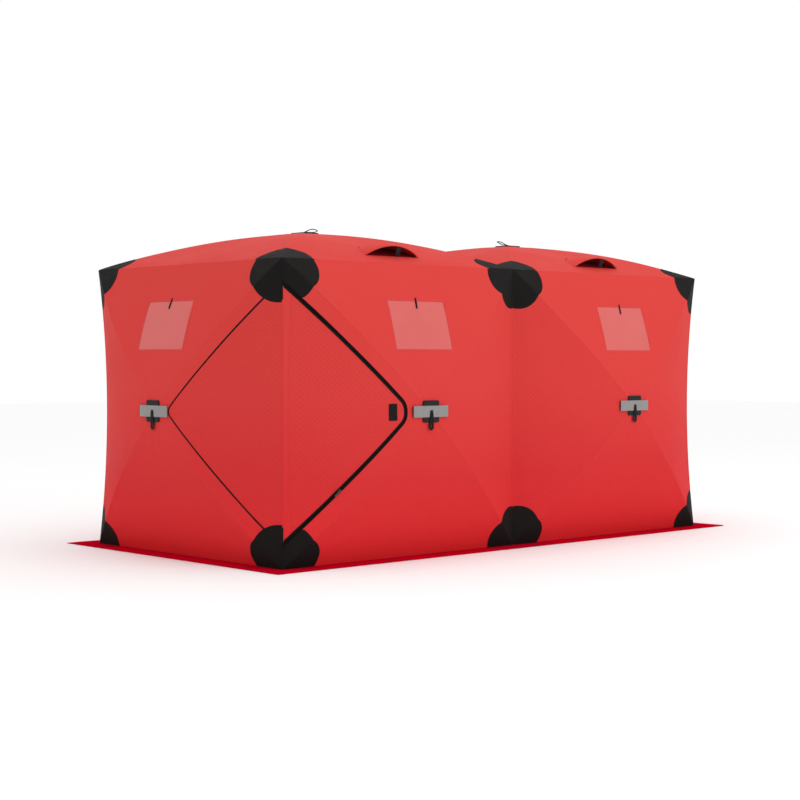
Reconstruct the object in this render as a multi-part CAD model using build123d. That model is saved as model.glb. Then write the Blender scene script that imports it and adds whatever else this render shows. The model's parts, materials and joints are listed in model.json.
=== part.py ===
from build123d import *
import math
import os

os.makedirs("parts", exist_ok=True)

# Pop-up ice fishing shelter. Two square bays stand side by side along X, +Z is up and the
# origin is on the ground, under the middle of the shelter. All sizes are in millimetres.

# Overall size
bay_length = 1800.0  # one bay along X, corner to corner
shelter_depth = 1800.0  # along Y, corner to corner
corner_height = 1690.0  # from the ground to the roof's corners
hub_rise = 220.0  # how far a hub stands out of the plane through its panel's corners
pole_bow = 45.0  # how far a bent pole bows out of its straight line
corner_tuck = 35.0  # how far the upright corners are drawn in at half height

# Fabric
fabric_thick = 3.0
skirt_width = 150.0
skirt_thick = 3.0
seam_gap = 1.5  # between neighbouring pieces of fabric
patch_radius = 250.0
patch_thick = 2.0
layer_gap = 0.3  # between layers sewn on each other

# Hub and its outer trim
hub_radius = 50.0
hub_thick = 27.0
slot_width = 13.5
slot_start = 22.0  # from the hub's middle
pin_circle = 38.0  # from the hub's middle to each pin
pin_radius = 3.0
pin_clearance = 0.05
pin_length = 34.0
stem_radius = 20.0
rivet_radius = 6.0
rivet_clearance = 1.5
pad_side = 125.0
pad_thick = 5.5
pad_gap = 0.5  # between the hub's rise and the pad's inner face
strip_length = 275.0
strip_height = 65.0
strip_thick = 2.0
loop_length = 100.0
roof_loop_length = 85.0
loop_top_width = 16.0
loop_end_width = 40.0
loop_band = 7.0
loop_thick = 2.5

# Poles
pole_radius = 5.5
pole_inset = 28.0  # from the fabric's inner face to a pole's centre line
neck_radius = 6.0
ferrule_radius = 7.5
ferrule_reach = (58.0, 92.0)  # along the pole, from the hub's middle
tip_radius = 6.5
tip_length = 28.0
tip_setback = 85.0  # from the corner to the pole's tip

# Pockets that hold the tips. The tips move along in them while a panel folds.
pocket_bore = 14.0
pocket_wall = 2.0
pocket_end = 3.0
pocket_reach = (-20.0, 29.0)  # of the inside, from the resting tip
pocket_slope = 6.0  # degrees

# Windows
window_width = 450.0
window_height = 290.0
window_middle = 490.0  # above the panel's middle
window_corner = 10.0
pane_thick = 1.5
pane_gap = 0.6
tie_length = 55.0
tie_radius = 4.0
tie_gap = 1.5

# Corner doors
door_margin = 139.0  # upright distance from the pole line to the door's edge
door_nose = 85.0  # rounding of the door's point beside the hub
door_hinge_gap = 20.0  # from the drawn-in corner edge to the flap, at half height
door_cut = 1.5  # open slot between flap and surround
surround_start = 0.12  # share of the way from the hub to the corner
surround_width = 48.0  # fabric outside the door's edge that moves with the door
corner_keep = 130.0  # radius of fabric that stays with the corner
zip_width = 25.0
zip_thick = 2.0
tab_width = 54.0
tab_height = 95.0
tab_thick = 2.5
tab_middle = 265.0  # from the hub's middle
slider_length = 26.0
slider_width = 14.0
slider_thick = 8.0
slider_clearance = 1.2
slider_travel = 300.0
slider_start = 0.66  # share of the way from the hub to the corner
pull_length = 45.0
pull_width = 9.0
pull_thick = 2.0

# Roof vents
vent_width = 415.0
vent_height = 62.0
vent_depth = 200.0
vent_setback = 105.0  # from the roof's front edge to the mouth
vent_thick = 3.0
prop_height = 53.0
prop_width = 35.0
prop_thick = 3.0
prop_offset = 40.0  # to the right of the vent's middle
prop_gap = 1.0

wall_half = (corner_height - skirt_thick) / 2
wall_middle = skirt_thick + wall_half
half_bay = bay_length / 2
half_depth = shelter_depth / 2


class Panel:
    """One square of fabric with a hub in its middle: u along it, v up it, w out of it."""

    def __init__(self, name, middle, along, out, half_u, half_v, free_edges):
        self.name = name
        self.plane = Plane(origin=middle, x_dir=along, z_dir=out)
        self.half_u = half_u
        self.half_v = half_v
        self.free_edges = free_edges  # the sides that end at an upright corner
        self.reach = math.hypot(half_u, half_v)

    def place(self, shape):
        return self.plane.location * shape

    def rise(self, share):
        """Height of the fabric over the corners' plane, at a share of the way outwards."""
        return hub_rise * (1 - share) + 4 * pole_bow * share * (1 - share)

    def point(self, side, share, across):
        """Point of the fabric's inner face. Across runs from -1 to 1 between two poles."""
        w = self.rise(share)
        if side in ("top", "bottom"):
            u = across * max(self.half_u * share - seam_gap, 0)
            v = min(self.half_v * share, self.half_v - seam_gap)
            return (u, v if side == "top" else -v, w)
        tuck = corner_tuck * share**2 * (1 - across**2) if side in self.free_edges else 0
        u = min(self.half_u * share, self.half_u - seam_gap) - tuck
        v = across * max(self.half_v * share - seam_gap, 0)
        return (u if side == "right" else -u, v, w - tuck)

    def normal(self, side, share, across):
        """Direction straight out of the fabric."""
        step = 0.01
        here = Vector(*self.point(side, share, across))
        outer = Vector(*self.point(side, share - step, across)) - here
        beside = Vector(*self.point(side, share, across + step)) - here
        square = outer.cross(beside).normalized()
        return square if square.Z > 0 else -square

    def gore(self, side, start, end, lift, thick):
        """Curved fabric between two poles, lifted off the inner face and given a thickness."""
        rows = 9
        columns = 9
        grid = [
            [
                Vector(*self.point(side, start + (end - start) * row / (rows - 1), across))
                for across in [2 * column / (columns - 1) - 1 for column in range(columns)]
            ]
            for row in range(rows)
        ]
        face = Face.make_surface_from_array_of_points(grid)
        solid = extrude(face, amount=thick, dir=(0, 0, 1))
        return Pos(0, 0, lift) * solid


WALL_Y = half_depth
WALL_X = bay_length
panels = [
    Panel("front_1", (-half_bay, -WALL_Y, wall_middle), (1, 0, 0), (0, -1, 0),
          half_bay, wall_half, ("left",)),
    Panel("front_2", (half_bay, -WALL_Y, wall_middle), (1, 0, 0), (0, -1, 0),
          half_bay, wall_half, ("right",)),
    Panel("back_1", (half_bay, WALL_Y, wall_middle), (-1, 0, 0), (0, 1, 0),
          half_bay, wall_half, ("left",)),
    Panel("back_2", (-half_bay, WALL_Y, wall_middle), (-1, 0, 0), (0, 1, 0),
          half_bay, wall_half, ("right",)),
    Panel("left", (-WALL_X, 0, wall_middle), (0, -1, 0), (-1, 0, 0),
          half_depth, wall_half, ("left", "right")),
    Panel("right", (WALL_X, 0, wall_middle), (0, 1, 0), (1, 0, 0),
          half_depth, wall_half, ("left", "right")),
    Panel("roof_1", (-half_bay, 0, corner_height), (1, 0, 0), (0, 0, 1),
          half_bay, half_depth, ()),
    Panel("roof_2", (half_bay, 0, corner_height), (1, 0, 0), (0, 0, 1),
          half_bay, half_depth, ()),
]
by_name = {panel.name: panel for panel in panels}
walls = [panel for panel in panels if not panel.name.startswith("roof")]
roofs = [panel for panel in panels if panel.name.startswith("roof")]
door_side = "left"  # a door is the gore beside the free corner of front_1 and of back_1
door_panels = {"front_door": by_name["front_1"], "back_door": by_name["back_1"]}
SIDES = ("top", "bottom", "left", "right")
CORNERS = {"upper_right": (1, 1), "upper_left": (-1, 1),
           "lower_left": (-1, -1), "lower_right": (1, -1)}
DEEP = 4 * hub_rise  # height of a cutting block through the whole rise of a panel
hub_edge = pad_side / 2 / half_bay  # share at which the fabric starts under the pad


def hinge_line(panel):
    """Distance from the hub's middle to the upright line about which a door's flap folds."""
    return panel.half_u - corner_tuck - door_hinge_gap


def keep(shape):
    """The solids of a shape as a plain list."""
    return list(shape.solids()) if shape else []


def column(sketch):
    """Upright cutting block over an outline drawn in a panel's plane."""
    return Pos(0, 0, -DEEP / 2) * extrude(sketch, amount=DEEP, dir=(0, 0, 1))


def corner_columns(panel, radius):
    return [
        column(Pos(a * panel.half_u, b * panel.half_v) * Circle(radius))
        for a, b in CORNERS.values()
    ]


def near_corners(shape, panel, radius):
    """The parts of a shape within a radius of the panel's corners."""
    parts = [keep(shape & block) for block in corner_columns(panel, radius)]
    return [solid for found in parts for solid in found]


def window_outline(grow):
    return Pos(0, window_middle) * RectangleRounded(
        window_width + 2 * grow, window_height + 2 * grow, window_corner + grow
    )


def door_outline(panel, grow):
    """Half diamond of a corner door, with its point by the hub, grown all round."""
    slope = panel.half_v / panel.half_u
    past = panel.half_u + 2 * patch_radius
    tip = door_margin / slope
    height = slope * past - door_margin
    sketch = make_face(Polyline((-tip, 0), (-past, height), (-past, -height), close=True))
    nose = sketch.vertices().sort_by(Axis.X)[-1]
    rounded = fillet(nose, door_nose)
    return offset(rounded, amount=grow) if grow else rounded


def door_blocks(panel):
    """Cutting blocks over a door and the fabric round it that moves with the door."""
    round_door = column(door_outline(panel, surround_width + seam_gap))
    return [
        column(door_outline(panel, 0)),
        round_door - corner_columns(panel, corner_keep),
    ]


def write(node, solids):
    shape = Compound(children=list(solids))
    shape.label = node
    export_step(shape, f"parts/{node}.step")


# ---------------------------------------------------------------- fabric of the walls and roof
def panel_fabric(panel):
    """The fabric that stays with the shelter: all gores, without a door's moving part."""
    made = []
    for side in SIDES:
        if panel in door_panels.values() and side == door_side:
            made.append(panel.gore(side, hub_edge, surround_start - 0.002, 0, fabric_thick))
            whole = panel.gore(side, surround_start, 1, 0, fabric_thick)
            made.append(whole - door_blocks(panel))
            past = hinge_line(panel) + seam_gap
            outside = column(Pos(-past - half_bay / 2, 0) * Rectangle(half_bay, 2 * half_bay))
            made.append(whole & column(door_outline(panel, -door_cut)) & outside)
            continue
        gore = panel.gore(side, hub_edge, 1, 0, fabric_thick)
        if side == "top" and panel in walls:
            gore = gore - column(window_outline(0))
        made += keep(gore)
    return [panel.place(solid) for piece in made for solid in keep(piece)]


def window_solids(panel):
    """Clear pane in the upper gore, with the short tie that hangs at its upper edge."""
    pane = panel.gore("top", hub_edge, 1, fabric_thick - pane_thick, pane_thick)
    pane = pane & column(window_outline(-pane_gap))
    top_share = (window_middle + window_height / 2) / panel.half_v
    low_share = top_share - tie_length / panel.half_v
    lift = fabric_thick + tie_gap + tie_radius
    high = Vector(*panel.point("top", top_share, 0)) + panel.normal("top", top_share, 0) * lift
    low = Vector(*panel.point("top", low_share, 0)) + panel.normal("top", low_share, 0) * lift
    run = low - high
    tie = Plane(origin=high, z_dir=run).location * extrude(Circle(tie_radius), amount=run.length)
    return [panel.place(solid) for solid in keep(pane) + keep(tie)]


def patch_solids(panel):
    """Corner reinforcement, one petal on each gore at each corner."""
    made = []
    for side in SIDES:
        start = 1 - 1.1 * patch_radius / min(panel.half_u, panel.half_v)
        layer = panel.gore(side, start, 1, fabric_thick + layer_gap, patch_thick)
        if panel in door_panels.values() and side == door_side:
            blocks = door_blocks(panel)
            made += [end - blocks for end in near_corners(layer, panel, patch_radius)]
        else:
            made += near_corners(layer, panel, patch_radius)
    return [panel.place(solid) for piece in made for solid in keep(piece)]


fabric_groups = {
    "front_wall": ("front_1", "front_2"),
    "back_wall": ("back_1", "back_2"),
    "left_wall": ("left",),
    "right_wall": ("right",),
    "roof": ("roof_1", "roof_2"),
}
for node, names in fabric_groups.items():
    write(node, [solid for name in names for solid in panel_fabric(by_name[name])])
write("windows", [solid for panel in walls for solid in window_solids(panel)])
write("corner_patches", [solid for panel in panels for solid in patch_solids(panel)])

# ---------------------------------------------------------------- snow skirt
tucked = 20.0  # how far the skirt reaches in under the walls


def skirt_side(far, near, half_far, half_near):
    """One mitred strip, between its outer line far and its inner line near."""
    return make_face(Polyline((-half_far, far), (half_far, far),
                              (half_near, near), (-half_near, near), close=True))


def skirt_solids():
    long_side = skirt_side(-half_depth - skirt_width, -half_depth + tucked,
                           bay_length + skirt_width - seam_gap, bay_length - tucked - seam_gap)
    short_side = skirt_side(-bay_length - skirt_width, -bay_length + tucked,
                            half_depth + skirt_width - seam_gap, half_depth - tucked - seam_gap)
    thick = skirt_thick - layer_gap
    made = [extrude(long_side, amount=thick, dir=(0, 0, 1)),
            extrude(short_side, amount=thick, dir=(0, 0, 1)).rotate(Axis.Z, 90)]
    return made + [solid.rotate(Axis.Z, 180) for solid in made]


write("skirt", [solid for piece in skirt_solids() for solid in keep(piece)])


# ---------------------------------------------------------------- hubs
def pole_height(reach, r):
    """Height of a pole's centre line at a distance r from the hub's middle."""
    share = r / reach
    return hub_rise * (1 - share) + 4 * pole_bow * share * (1 - share) - pole_inset


def corner_angle(panel, corner):
    a, b = CORNERS[corner]
    return math.degrees(math.atan2(b * panel.half_v, a * panel.half_u))


def loop_outline(length):
    """Webbing loop that widens downwards, with a finger opening."""
    def drop(inset):
        top = loop_top_width / 2 - inset
        end = loop_end_width / 2 - inset
        low = -length + loop_end_width / 2
        sides = make_face(Polyline((-top, -inset), (top, -inset), (end, low), (-end, low),
                                   close=True))
        return sides + Pos(0, low) * Circle(end)
    opening = drop(loop_band) & Pos(0, -length) * Rectangle(2 * length, 2 * length - 50)
    return drop(0) - opening


def hub_solids(panel):
    """Hub body with slots, its four pins, stem, outer pad, rivet and pull loop."""
    pin_height = pole_height(panel.reach, pin_circle)
    body = Pos(0, 0, pin_height) * extrude(Circle(hub_radius), amount=hub_thick / 2, both=True)
    pins = []
    for corner in CORNERS:
        turn = Rot(0, 0, corner_angle(panel, corner))
        slot_length = hub_radius
        slot = Pos(slot_start + slot_length / 2, 0, pin_height) * Box(
            slot_length, slot_width, 2 * hub_thick)
        body = body - turn * slot
        pin = turn * Pos(pin_circle, 0, pin_height) * Rot(90, 0, 0) * Cylinder(
            pin_radius, pin_length)
        body = body - pin
        pins.append(pin)
    pad_low = hub_rise + pad_gap
    pad_top = pad_low + pad_thick
    strip_top = pad_top + layer_gap + strip_thick
    body_top = pin_height + hub_thick / 2
    stem = Pos(0, 0, body_top) * extrude(Circle(stem_radius), amount=pad_low - body_top)
    pad = Pos(0, 0, pad_low) * extrude(
        RectangleRounded(pad_side, pad_side, 8), amount=pad_thick)
    loop_low = strip_top + 2 * layer_gap
    rivet = Pos(0, 0, pad_top) * extrude(Circle(rivet_radius), amount=loop_low - pad_top)
    is_roof = panel in roofs
    loop = extrude(loop_outline(roof_loop_length if is_roof else loop_length),
                   amount=loop_thick)
    turn = {"roof_1": 90, "roof_2": -90}.get(panel.name, 0)
    loop = Pos(0, 0, loop_low) * Rot(0, 0, turn) * Pos(0, rivet_radius) * loop
    pieces = [body, stem, pad, rivet, loop] + pins
    return [panel.place(solid) for piece in pieces for solid in keep(piece)]


def strip_solids(panel):
    """Reflective strip over a wall hub's pad."""
    low = hub_rise + pad_gap + pad_thick + layer_gap
    plate = RectangleRounded(strip_length, strip_height, 3) - Circle(
        rivet_radius + rivet_clearance)
    return [panel.place(solid) for solid in keep(Pos(0, 0, low) * extrude(plate, amount=strip_thick))]


for panel in panels:
    write(f"{panel.name}_hub", hub_solids(panel))
write("hub_strips", [solid for panel in walls for solid in strip_solids(panel)])


# ---------------------------------------------------------------- poles and their pockets
def pole_solids(reach):
    """A bent pole lying over the X axis, with its knuckle at the hub and its tip cap."""
    def at(r):
        return Vector(r, 0, pole_height(reach, r))

    rod_start = ferrule_reach[0]
    rod_end = reach - tip_setback
    bend = ThreePointArc(at(rod_start), at((rod_start + rod_end) / 2), at(rod_end))
    section = Plane(origin=bend @ 0, z_dir=bend % 0) * Circle(pole_radius)
    rod = sweep(section, path=bend)
    neck_run = at(rod_start) - at(pin_circle)
    neck_plane = Plane(origin=at(pin_circle), z_dir=neck_run)
    ferrule_run = at(ferrule_reach[1]) - at(rod_start)
    ferrule_plane = Plane(origin=at(rod_start), z_dir=ferrule_run)
    eye = Pos(*at(pin_circle)) * Rot(90, 0, 0) * Cylinder(2 * neck_radius, 2 * neck_radius)
    knuckle = eye + neck_plane.location * extrude(Circle(neck_radius), amount=neck_run.length)
    knuckle += ferrule_plane.location * extrude(Circle(ferrule_radius), amount=ferrule_run.length)
    bore = Pos(*at(pin_circle)) * Rot(90, 0, 0) * Cylinder(
        pin_radius + pin_clearance, pin_length)
    knuckle = knuckle - bore - rod
    tip_run = (bend % 1).normalized()
    cap = Plane(origin=at(rod_end) - tip_run * (tip_length - 3), z_dir=tip_run)
    cap = cap.location * extrude(Circle(tip_radius), amount=tip_length)
    cap = cap - rod
    return keep(knuckle) + keep(rod) + keep(cap)


def pocket_solids(reach):
    """Cup sewn into the corner, which holds a pole's tip."""
    r = reach - tip_setback
    plane = Plane(origin=(r, 0, pole_height(reach, r)), x_dir=(0, 1, 0),
                  z_dir=(math.cos(math.radians(pocket_slope)), 0,
                         -math.sin(math.radians(pocket_slope))))
    back, front = pocket_reach
    outer = Pos(0, 0, back) * extrude(Circle(pocket_bore + pocket_wall),
                                      amount=front - back + pocket_end)
    inner = Pos(0, 0, back) * extrude(Circle(pocket_bore), amount=front - back)
    return keep(plane.location * (outer - inner))


poles = {reach: pole_solids(reach) for reach in {panel.reach for panel in panels}}
pockets = {reach: pocket_solids(reach) for reach in poles}
pocket_group = []
for panel in panels:
    for corner in CORNERS:
        turn = Rot(0, 0, corner_angle(panel, corner))
        write(f"{panel.name}_pole_{corner}",
              [panel.place(turn * solid) for solid in poles[panel.reach]])
        pocket_group += [panel.place(turn * solid) for solid in pockets[panel.reach]]
write("corner_pockets", pocket_group)


# ---------------------------------------------------------------- corner doors
def surround_solids(panel):
    """Fabric round the door, outside its edge, with the zip's outer tape."""
    fabric = panel.gore(door_side, surround_start, 1, 0, fabric_thick)
    tape = panel.gore(door_side, surround_start, 1, fabric_thick + layer_gap, zip_thick)
    door = column(door_outline(panel, 0))
    ends = corner_columns(panel, corner_keep + seam_gap)
    fabric = (fabric & column(door_outline(panel, surround_width))) - door - ends
    tape = (tape & column(door_outline(panel, zip_width))) - door - ends
    return [panel.place(solid) for solid in keep(fabric) + keep(tape)]


def flap_solids(panel):
    """The part of the door that swings, with its hook-and-loop tab."""
    door = column(door_outline(panel, -door_cut))
    free = hinge_line(panel)
    short = column(Pos(-free / 2, 0) * Rectangle(free, 2 * panel.half_v))
    fabric = panel.gore(door_side, surround_start, 1, 0, fabric_thick) & door & short
    tab_spot = column(Pos(-tab_middle, 0) * Rectangle(tab_width, tab_height))
    tab = panel.gore(door_side, surround_start, 1, fabric_thick + layer_gap, tab_thick)
    tab = tab & tab_spot
    return [panel.place(solid) for solid in keep(fabric) + keep(tab)]


def slider_run(panel):
    """Ends of the slider's straight travel along the lower zip, and its way out."""
    def spot(share):
        u = -panel.half_u * share
        edge = panel.half_v * share - door_margin + zip_width / 2
        across = -edge / (panel.half_v * share)
        x, y, z = panel.point(door_side, share, across)
        return Vector(u, y, z)
    reach = panel.reach
    start = spot(slider_start)
    end = spot(slider_start - slider_travel / reach)
    middle_share = slider_start - slider_travel / reach / 2
    out = panel.normal(door_side, middle_share, -0.72)
    along = (end - start).normalized()
    out = (out - along * out.dot(along)).normalized()
    bulge = (spot(middle_share) - (start + end) * 0.5).dot(out)
    return start, end, out, bulge


def slider_solids(panel):
    start, end, out, bulge = slider_run(panel)
    base = start + out * (fabric_thick + layer_gap + zip_thick + bulge + slider_clearance)
    plane = Plane(origin=base, x_dir=end - start, z_dir=out)
    body = Pos(0, 0, slider_thick / 2) * Box(slider_length, slider_width, slider_thick)
    body = fillet(body.edges().filter_by(Axis.Z), 4)
    pull = extrude(RectangleRounded(pull_length, pull_width, 3) -
                   Pos(pull_length / 2 - 6, 0) * Circle(2), amount=pull_thick)
    pull = Pos(-pull_length / 2 + 6, 0, slider_thick) * pull
    return [panel.place(plane.location * solid) for solid in keep(body) + keep(pull)]


for door, panel in door_panels.items():
    write(f"{door}_surround", surround_solids(panel))
    write(f"{door}_flap", flap_solids(panel))
    write(f"{door}_zip_slider", slider_solids(panel))


# ---------------------------------------------------------------- roof vents
def vent_frame(panel):
    """Plane on the roof's front slope, at the middle of the vent's mouth."""
    share = 1 - vent_setback / panel.half_v
    foot = Vector(*panel.point("bottom", share, 0))
    bulge = pole_bow * (vent_depth / panel.half_v) ** 2
    lift = fabric_thick + layer_gap + bulge
    out = panel.normal("bottom", share - vent_depth / panel.half_v / 2, 0)
    return Plane(origin=foot + out * lift, x_dir=(1, 0, 0), z_dir=out)


def hood_solids(panel):
    """Arched hood, open at the mouth and tapering to nothing up the slope."""
    rows = 9
    columns = 13
    half = vent_width / 2
    grid = []
    for row in range(rows):
        back = 0.94 * row / (rows - 1)
        width = half * math.sqrt(1 - back**2)
        height = vent_height * (1 - back**1.6)
        grid.append([
            Vector(width * across, vent_depth * back, height * (1 - across**2))
            for across in [2 * column / (columns - 1) - 1 for column in range(columns)]
        ])
    face = Face.make_surface_from_array_of_points(grid)
    shell = extrude(face, amount=vent_thick, dir=(0, 0, 1))
    frame = vent_frame(panel)
    return [panel.place(frame.location * solid) for solid in keep(shell)]


def prop_solids(panel):
    """Stiff strut that holds the mouth open."""
    frame = vent_frame(panel)
    across = prop_offset / (vent_width / 2)
    prop = Pos(prop_offset, prop_thick, prop_gap + prop_height * (1 - across**2) / 2) * Box(
        prop_width, prop_thick, prop_height * (1 - across**2))
    return [panel.place(frame.location * solid) for solid in keep(prop)]


for number, panel in enumerate(roofs, 1):
    write(f"vent_hood_{number}", hood_solids(panel))
    write(f"vent_prop_{number}", prop_solids(panel))
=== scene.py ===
# %% [markdown]
# # A pop-up ice fishing shelter
# Two square bays stand side by side. Each wall bay and each roof bay is one square of cloth with a hub
# in its middle, four bent poles that run from the hub to the corners, and black patches where the
# poles push. The CAD model gives the frame: every piece below takes its place from it, and some of
# them move with one of its bodies. Almost everything here is cloth, so most pieces start as a flat grid
# that is laid on one curved surface, the shape that the poles give the cloth.

# %% Load the fixed frame
import json
import math

import bpy
import numpy as np
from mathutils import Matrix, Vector


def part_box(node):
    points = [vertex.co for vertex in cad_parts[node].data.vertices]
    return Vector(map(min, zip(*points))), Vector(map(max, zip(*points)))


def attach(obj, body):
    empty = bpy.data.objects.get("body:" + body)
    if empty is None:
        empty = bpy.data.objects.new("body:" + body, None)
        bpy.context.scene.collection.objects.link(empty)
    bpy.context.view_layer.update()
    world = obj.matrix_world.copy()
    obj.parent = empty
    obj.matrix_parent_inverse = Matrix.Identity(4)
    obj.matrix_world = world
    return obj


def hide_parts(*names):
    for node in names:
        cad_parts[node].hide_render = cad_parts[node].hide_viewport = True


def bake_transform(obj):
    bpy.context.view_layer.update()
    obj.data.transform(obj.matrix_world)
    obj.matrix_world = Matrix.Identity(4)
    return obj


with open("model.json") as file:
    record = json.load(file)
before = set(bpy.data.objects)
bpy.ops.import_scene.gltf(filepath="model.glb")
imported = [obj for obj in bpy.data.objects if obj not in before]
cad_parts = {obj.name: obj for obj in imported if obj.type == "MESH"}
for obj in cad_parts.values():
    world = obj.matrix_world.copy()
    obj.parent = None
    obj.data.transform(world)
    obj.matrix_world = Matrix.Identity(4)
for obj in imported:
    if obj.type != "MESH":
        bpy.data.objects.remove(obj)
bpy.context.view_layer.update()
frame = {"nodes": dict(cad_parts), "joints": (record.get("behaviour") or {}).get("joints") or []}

# %% [markdown]
# The main sizes are read from the CAD nodes, so that a change there is followed here. The roof gives
# the plan and the height of the eaves, a wall gives its foot, and a hub's travel gives its rise, since
# a hub pushed right through stops as far inside as it stood outside.

# %% Main sizes, in metres
SEAM = 0.0015  # the CAD cloth stops this short of a panel's edge
roof_low, roof_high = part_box("roof")
wall_low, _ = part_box("front_wall")
travel = {joint["name"]: joint for joint in frame["joints"]}["front_1_hub_slide"]["range_m"][1]
BAY = (roof_high.x - roof_low.x) / 2 + SEAM
DEPTH = roof_high.y - roof_low.y + 2 * SEAM
EAVES = roof_low.z
FOOT = wall_low.z - SEAM
RISE = travel / 2
BOW = 0.045  # a bent pole's bow
TUCK = 0.035  # how far an upright corner is drawn in at half height
CLOTH = 0.003  # the cloth's outer face, over the plane of the poles' line
HUB_SHARE = 0.055  # where the cloth starts, as a share of the way from hub to corner
PATCH = 0.25  # radius of a corner patch
print(f"bay {BAY:.3f}, depth {DEPTH:.3f}, eaves {EAVES:.3f}, hub rise {RISE:.3f}")

# %% [markdown]
# The camera comes first. It stands at the corner with the door, about a metre up and well back, so
# the verticals stay upright and both long sides run away from the corner.

# %% Camera
camera_data = bpy.data.cameras.new("camera")
camera_data.lens = 76.3
camera_data.sensor_width = 36
camera_data.clip_end = 200
camera = bpy.data.objects.new("camera", camera_data)
camera.location = (-7.546, -8.071, 1.148)
camera.rotation_euler = (math.radians(88.59), 0, -math.radians(42.68))
bpy.context.scene.collection.objects.link(camera)
bpy.context.scene.camera = camera

# %% [markdown]
# The cloth of one panel is a low pyramid with slightly bowed faces: the hub is its point, and the four
# poles are its edges. This class holds that shape. A place in a panel is given by u along it and v up
# it, and the class works out how far the cloth stands off there, so every seam, patch and window can
# be laid on the same surface and will touch it everywhere. Soft folds are part of the surface too, as
# real cloth is pulled tight from its corners and gathers a little round the hub.

# %% The shape of the cloth
SIDES = ("top", "bottom", "left", "right")


class Panel:
    """One square of cloth: u runs along it, v up it and w out of it."""

    def __init__(self, name, middle, along, out, half_u, half_v, free=()):
        self.name = name
        self.hub = f"{name}_hub"
        self.middle = np.array(middle, float)
        self.along = np.array(along, float)
        self.out = np.array(out, float)
        self.up = np.cross(self.out, self.along)
        self.half_u, self.half_v, self.free = half_u, half_v, free
        self.phase = 1.7 * len(name) + 0.9 * sum(map(ord, name)) % 7

    def edge(self, v):
        """Distance from the middle to the drawn-in upright edge, at a height."""
        return self.half_u - TUCK * (1 - np.clip(v / self.half_v, -1, 1) ** 2)

    def gore(self, side, share, across):
        """u and v of points of one gore, the cloth between two poles."""
        sign = 1 if side in ("top", "right") else -1
        if side in ("top", "bottom"):
            return across * self.half_u * share, sign * self.half_v * share
        drawn = TUCK * share**2 * (1 - across**2) if side in self.free else 0
        return sign * (self.half_u * share - drawn), across * self.half_v * share

    def measure(self, u, v):
        """Share of the way outwards and height of the bare surface, at u and v."""
        a, b = np.abs(u) / self.half_u, np.abs(v) / self.half_v
        share = np.maximum(np.maximum(a, b), 1e-6)
        free = np.where(np.asarray(u) > 0, "right" in self.free, "left" in self.free) & (a > b)
        drawn = np.zeros_like(share)
        for _ in range(6):
            across = np.clip(b / share, 0, 1)
            drawn = np.where(free, TUCK * share**2 * (1 - across**2), 0)
            share = np.where(free, a + drawn / self.half_u, share)
        share = np.minimum(share, 1)
        return share, RISE * (1 - share) + 4 * BOW * share * (1 - share) - drawn

    def folds(self, u, v, share):
        """Soft folds that fan from the corners, gathers round the hub, and a slack wave."""
        total = np.zeros_like(share)
        for a in (-1, 1):
            for b in (-1, 1):
                x, y = self.half_u - a * u, self.half_v - b * v
                r, angle = np.hypot(x, y), np.arctan2(y, x)
                fan = np.cos(17 * angle + self.phase + 2 * a + b) + 0.5 * np.cos(31 * angle - a)
                total += 0.0011 * np.exp(-(((r - 0.42) / 0.2) ** 2)) * fan
        r, angle = np.hypot(u, v), np.arctan2(v, u)
        total += 0.0011 * np.exp(-(((r - 0.17) / 0.08) ** 2)) * np.cos(14 * angle + self.phase)
        wave = np.sin(5.1 * u + 3.3 * v + self.phase) * np.sin(4.3 * v - 3.7 * u + 2 * self.phase)
        total += 0.0016 * wave
        return total * np.clip((1 - share) / 0.06, 0, 1)

    def place(self, u, v, lift=0.0):
        """Points in the frame, on the cloth's outer face or lifted off it."""
        u, v = np.broadcast_arrays(np.asarray(u, float), np.asarray(v, float))
        share, height = self.measure(u, v)
        w = height + CLOTH + self.folds(u, v, share) + lift
        return (self.middle + np.multiply.outer(u, self.along) + np.multiply.outer(v, self.up)
                + np.multiply.outer(w, self.out))

    def flat(self, u, v, w):
        """Points in the frame from u, v and a height over the corners' plane."""
        u, v, w = np.broadcast_arrays(*(np.asarray(x, float) for x in (u, v, w)))
        return (self.middle + np.multiply.outer(u, self.along) + np.multiply.outer(v, self.up)
                + np.multiply.outer(w, self.out))

    def local(self, points):
        """u and v of points in the frame."""
        away = np.asarray(points) - self.middle
        return away @ self.along, away @ self.up


half_bay, half_depth, wall_half = BAY / 2, DEPTH / 2, (EAVES - FOOT) / 2
wall_z = FOOT + wall_half
panels = [
    Panel("front_1", (-half_bay, -half_depth, wall_z), (1, 0, 0), (0, -1, 0), half_bay, wall_half, ("left",)),
    Panel("front_2", (half_bay, -half_depth, wall_z), (1, 0, 0), (0, -1, 0), half_bay, wall_half, ("right",)),
    Panel("back_1", (half_bay, half_depth, wall_z), (-1, 0, 0), (0, 1, 0), half_bay, wall_half, ("left",)),
    Panel("back_2", (-half_bay, half_depth, wall_z), (-1, 0, 0), (0, 1, 0), half_bay, wall_half, ("right",)),
    Panel("left", (-BAY, 0, wall_z), (0, -1, 0), (-1, 0, 0), half_depth, wall_half, ("left", "right")),
    Panel("right", (BAY, 0, wall_z), (0, 1, 0), (1, 0, 0), half_depth, wall_half, ("left", "right")),
    Panel("roof_1", (-half_bay, 0, EAVES), (1, 0, 0), (0, 0, 1), half_bay, half_depth),
    Panel("roof_2", (half_bay, 0, EAVES), (1, 0, 0), (0, 0, 1), half_bay, half_depth),
]
by_name = {panel.name: panel for panel in panels}
walls, roofs = panels[:6], panels[6:]
doors = {"front_door": by_name["front_1"], "back_door": by_name["back_1"]}
print("panels:", ", ".join(panel.name for panel in panels))

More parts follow.
